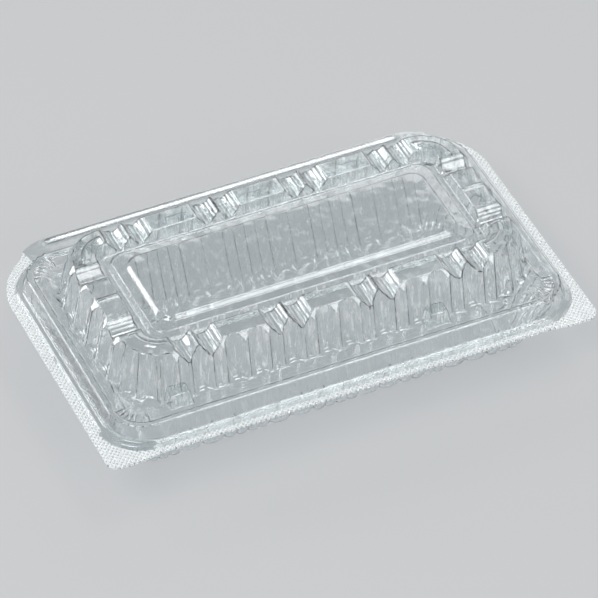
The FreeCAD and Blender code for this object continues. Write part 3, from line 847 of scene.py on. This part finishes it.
def clear_sheet(name, tint, ripple, finish, *finish_values):
    """Clear formed plastic: glass with the slight waviness of a drawn sheet.

    Shadow rays and diffuse rays pass it straight, so that the lamps light what lies inside and under it.
    """
    material = bpy.data.materials.new(name)
    material.use_nodes = True
    tree = material.node_tree
    tree.nodes.clear()
    place = tree.nodes.new("ShaderNodeTexCoord")
    clear, rough = finish(tree, place, *finish_values)
    bump = tree.nodes.new("ShaderNodeBump")
    bump.inputs["Strength"].default_value = ripple
    bump.inputs["Distance"].default_value = RIPPLE_DEPTH
    wave = noise(tree, place.outputs["Object"], RIPPLE_SCALE, RIPPLE_DETAIL)
    tree.links.new(wave, bump.inputs["Height"])
    glass = tree.nodes.new("ShaderNodeBsdfPrincipled")
    glass.inputs["Base Color"].default_value = (*tint, 1.0)
    glass.inputs["IOR"].default_value = PLASTIC_IOR
    glass.inputs["Transmission Weight"].default_value = 1.0
    tree.links.new(clear, glass.inputs["Transmission Weight"])
    tree.links.new(rough, glass.inputs["Roughness"])
    tree.links.new(bump.outputs["Normal"], glass.inputs["Normal"])
    through = tree.nodes.new("ShaderNodeBsdfTransparent")
    through.inputs["Color"].default_value = (*THROUGH_TINT, 1.0)
    path = tree.nodes.new("ShaderNodeLightPath")
    soft = calculate(tree, "MAXIMUM", path.outputs["Is Shadow Ray"], path.outputs["Is Diffuse Ray"])
    mix = tree.nodes.new("ShaderNodeMixShader")
    tree.links.new(soft, mix.inputs["Fac"])
    tree.links.new(glass.outputs["BSDF"], mix.inputs[1])
    tree.links.new(through.outputs["BSDF"], mix.inputs[2])
    out = tree.nodes.new("ShaderNodeOutputMaterial")
    tree.links.new(mix.outputs["Shader"], out.inputs["Surface"])
    return material


def pale_floor():
    """The matt material of the floor."""
    material = bpy.data.materials.new("floor_matt")
    material.use_nodes = True
    shader = material.node_tree.nodes["Principled BSDF"]
    shader.inputs["Base Color"].default_value = (*FLOOR_COLOUR, 1.0)
    shader.inputs["Roughness"].default_value = FLOOR_ROUGHNESS
    shader.inputs["Specular IOR Level"].default_value = FLOOR_SPECULAR
    return material


# Camera, fitted to the straight edges of the photograph: distances in metres, angles in degrees
CAMERA_AZIMUTH = -24.496
CAMERA_ELEVATION = 42.692
CAMERA_AWAY = 1.7987
CAMERA_RIGHT = 0.0022
CAMERA_DOWN = 0.0021
CAMERA_LENS = 286.3
CAMERA_CLIP = (0.05, 50.0)

# Stage, in metres. Each lamp has its name, place, width and height, and power.
LAMPS = (
    ("key", (-1.6, -1.0, 2.8), (1.5, 1.5), 64.0),
    ("overhead", (0.9, 0.1, 2.8), (1.4, 0.6), 20.0),
    ("front_right", (1.04, -2.72, 1.75), (1.6, 1.1), 24.0),
    ("back_left", (-1.3, 2.0, 1.8), (0.7, 0.9), 12.0),
    ("low_left", (-2.4, 2.2, 0.6), (1.2, 0.6), 18.0),
    ("back_right", (1.8, 2.4, 1.6), (2.2, 1.6), 18.0),
)
LAMP_TARGET = (0.0, 0.0, 0.03)
WORLD_COLOUR = (0.12, 0.123, 0.126)
FLOOR_HALF = 4.0
FLOOR_HEIGHT = -0.0001
BOUNCES = 32  # enough to see through both halves


def add_camera():
    """The camera, at the photograph's angle."""
    azimuth, elevation = math.radians(CAMERA_AZIMUTH), math.radians(CAMERA_ELEVATION)
    back = Vector((
        math.sin(azimuth) * math.cos(elevation),
        -math.cos(azimuth) * math.cos(elevation),
        math.sin(elevation),
    ))
    right = Vector((math.cos(azimuth), math.sin(azimuth), 0.0))
    up = back.cross(right)
    target = Vector((0.0, SHIFT, PARTING)) * MM
    place = target + back * CAMERA_AWAY + right * CAMERA_RIGHT - up * CAMERA_DOWN
    camera = bpy.data.cameras.new("camera")
    camera.lens = CAMERA_LENS
    camera.clip_start, camera.clip_end = CAMERA_CLIP
    item = bpy.data.objects.new("camera", camera)
    bpy.context.scene.collection.objects.link(item)
    turn = Matrix((right, up, back)).transposed().to_4x4()
    item.matrix_world = Matrix.Translation(place) @ turn
    bpy.context.scene.camera = item


def add_lamp(name, where, size, power):
    """A soft rectangular lamp that faces the object."""
    light = bpy.data.lights.new(name, "AREA")
    light.shape = "RECTANGLE"
    light.size, light.size_y = size
    light.energy = power
    item = bpy.data.objects.new(name, light)
    item.location = where
    item.rotation_mode = "QUATERNION"
    item.rotation_quaternion = (Vector(LAMP_TARGET) - Vector(where)).to_track_quat("-Z", "Y")
    bpy.context.scene.collection.objects.link(item)


def add_stage():
    """The pale floor, and the plain light all round."""
    floor = bpy.data.meshes.new("floor")
    corners = [(x * FLOOR_HALF, y * FLOOR_HALF, 0) for x, y in ((-1, -1), (1, -1), (1, 1), (-1, 1))]
    floor.from_pydata(corners, [], [(0, 1, 2, 3)])
    item = bpy.data.objects.new("floor", floor)
    bpy.context.scene.collection.objects.link(item)
    floor.materials.append(pale_floor())
    item.location.z = FLOOR_HEIGHT
    world = bpy.data.worlds.new("studio")
    bpy.context.scene.world = world
    world.use_nodes = True
    background = world.node_tree.nodes["Background"]
    background.inputs["Color"].default_value = (*WORLD_COLOUR, 1.0)
    background.inputs["Strength"].default_value = 1.0


# Build
lid_base = PARTING + GAP / 2.0
tray_base = PARTING - GAP / 2.0

lid_cols = lid_columns()
lid_rings = lid_layers(lid_cols)
seam = max(
    k for k, ring in enumerate(lid_profile())
    if ring[3] == SHOULDER and ring[0] < SEAM_WITHIN
)
lid_outer = lid_rings[seam:] + leaf_layers(lid_cols, SHEET, LEAF_BEAD)
lid_crown = sheet_mesh("lid_crown", lid_cols, lid_rings[:seam + 1], seam + 2, lid_base, 1)
lid_sheet = sheet_mesh(
    "lid_sheet", lid_cols, lid_outer, len(lid_rings) - seam, lid_base, 1, stud_blocks(), middle=False)

tray_cols = tray_columns()
tray_rings = tray_layers(tray_cols)
tray_all = tray_rings + leaf_layers(tray_cols, -SHEET, -LEAF_BEAD)
tray_sheet = sheet_mesh("tray_sheet", tray_cols, tray_all, len(tray_rings), tray_base, -1)

lid_knurl = knurled_strip("lid_knurl", lid_base, 1)
tray_knurl = knurled_strip("tray_knurl", tray_base, -1)

# The plain sheets carry the painted reflection streaks on their walls
lid_clear = clear_sheet(
    "clear_lid_sheet", LID_TINT, SHEET_RIPPLE, streak_sheen_finish, LID_STREAK_SHEEN, (PARTING + LEDGE) * MM)
tray_clear = clear_sheet(
    "clear_tray_sheet", TRAY_TINT, SHEET_RIPPLE, streak_sheen_finish, TRAY_STREAK_SHEEN, 0.0)
lid_net = clear_sheet("knurled_lid_sheet", LID_TINT, KNURL_RIPPLE, knurled_finish)
tray_net = clear_sheet("knurled_tray_sheet", TRAY_TINT, KNURL_RIPPLE, knurled_finish)
for piece, body, material, slot in (
    (lid_sheet, "lid", lid_clear, "clear_lid"),
    (lid_crown, "lid", lid_clear, "clear_lid"),
    (lid_knurl, "lid", lid_net, "clear_lid"),
    (tray_sheet, "tray", tray_clear, "clear_tray"),
    (tray_knurl, "tray", tray_net, "clear_tray"),
):
    piece.data.materials.append(material)
    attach(piece, body)
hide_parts("lid")
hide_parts("lid")
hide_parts("tray")

add_stage()
add_camera()
for lamp in LAMPS:
    add_lamp(*lamp)

scene = bpy.context.scene
scene.view_settings.view_transform = "Standard"
scene.cycles.max_bounces = BOUNCES
scene.cycles.transmission_bounces = BOUNCES
scene.cycles.transparent_max_bounces = BOUNCES
